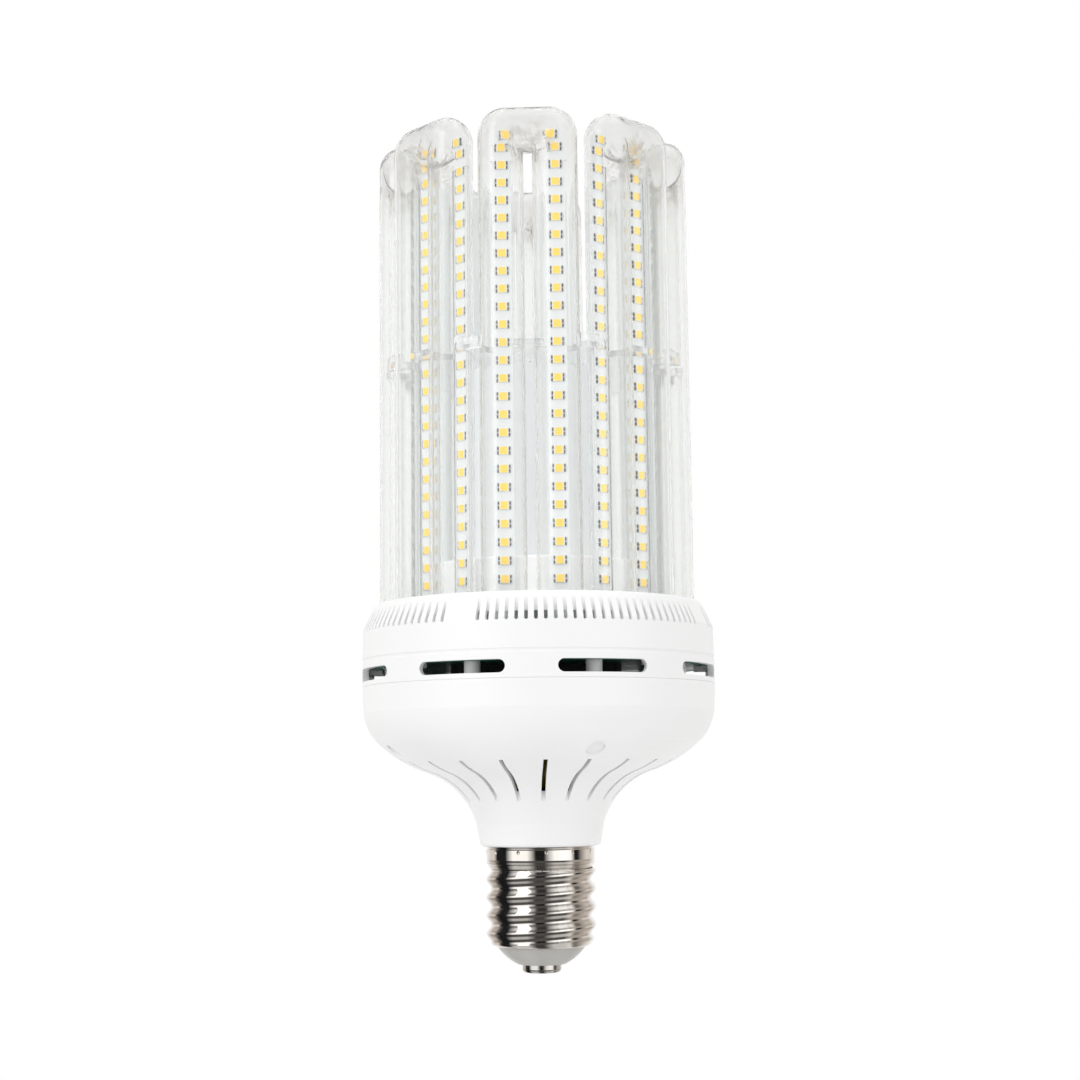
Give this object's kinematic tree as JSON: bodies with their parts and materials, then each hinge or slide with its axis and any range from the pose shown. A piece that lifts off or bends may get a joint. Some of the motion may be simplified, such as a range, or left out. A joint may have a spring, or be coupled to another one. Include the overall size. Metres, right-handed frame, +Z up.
{
  "type": "led grow light bulb",
  "caption": "Large screw-in LED grow lamp with a ring of clear upright U-shaped tubes that hold LED strips, on a white vented housing with a fan and an E40 screw cap.",
  "frame": {"origin": "centre of the underside of the tip contact, on the lamp's axis", "axes": "+Z up the lamp's axis from the screw cap to the tube bends, -Y through the middle of tube 1"},
  "size_m": [0.1274, 0.1274, 0.3018],
  "materials": {
    "tip_metal": "nickel plated, satin",
    "insulator": "glazed, off-white",
    "nickel": "nickel plated, bright",
    "lead_sheath": "sleeved wire, red",
    "white_housing": "moulded, satin white",
    "white_plug": "moulded, white",
    "screw_steel": "zinc plated",
    "clear_disc": "clear plastic sheet",
    "clear_tube": "clear extruded plastic, polished",
    "duct_plastic": "translucent white",
    "board_green": "solder resist, dark green",
    "strip_white": "solder resist, white",
    "led_phosphor": "phosphor in a white package",
    "ferrite": "pressed ferrite, dark grey",
    "winding_tape": "coil tape, yellow",
    "can_sleeve": "shrunk sleeve, dark blue",
    "copper_wire": "enamelled copper",
    "film_case": "moulded case, yellow",
    "sink_metal": "extruded",
    "fan_black": "moulded, black",
    "bearing_metal": "sintered bronze",
    "stator_steel": "stacked sheet",
    "magnet_rubber": "bonded magnet, dark brown",
    "shaft_steel": "ground"
  },
  "bodies": {
    "lamp": {"centre_contact": "tip_metal", "cap_insulator": "insulator", "screw_shell": "nickel", "live_lead": "lead_sheath", "neutral_lead": "lead_sheath", "output_leads": "lead_sheath", "fan_lead": "lead_sheath", "lower_housing": "white_housing", "vent_ring": "white_housing", "upper_cover": "white_housing", "hub_ring": "white_housing", "housing_screws": "screw_steel", "screw_plugs": "white_plug", "fan_screws": "screw_steel", "board_screws": "screw_steel", "fan_nuts": "screw_steel", "support_disc": "clear_disc", "air_duct": "duct_plastic", "ring_board": "board_green", "driver_board": "board_green", "transformer_core": "ferrite", "transformer_coil": "winding_tape", "main_capacitors": "can_sleeve", "line_choke": "copper_wire", "film_capacitor": "film_case", "heat_sink": "sink_metal", "fan_frame": "fan_black", "fan_bearing": "bearing_metal", "fan_stator": "stator_steel", "u_tube_1": "clear_tube", "u_tube_2": "clear_tube", "u_tube_3": "clear_tube", "u_tube_4": "clear_tube", "u_tube_5": "clear_tube", "u_tube_6": "clear_tube", "u_tube_7": "clear_tube", "u_tube_8": "clear_tube", "led_strips_1": "strip_white", "led_strips_2": "strip_white", "led_strips_3": "strip_white", "led_strips_4": "strip_white", "led_strips_5": "strip_white", "led_strips_6": "strip_white", "led_strips_7": "strip_white", "led_strips_8": "strip_white", "leds_1": "led_phosphor", "leds_2": "led_phosphor", "leds_3": "led_phosphor", "leds_4": "led_phosphor", "leds_5": "led_phosphor", "leds_6": "led_phosphor", "leds_7": "led_phosphor", "leds_8": "led_phosphor"},
    "fan_wheel": {"fan_rotor": "fan_black", "fan_magnet": "magnet_rubber", "fan_shaft": "shaft_steel"}
  },
  "joints": [
    {"name": "fan_spin", "type": "hinge", "parent": "lamp", "child": "fan_wheel", "pos_m": [0, 0, 0.0992], "axis": [0, 0, 1], "continuous": true}
  ]
}
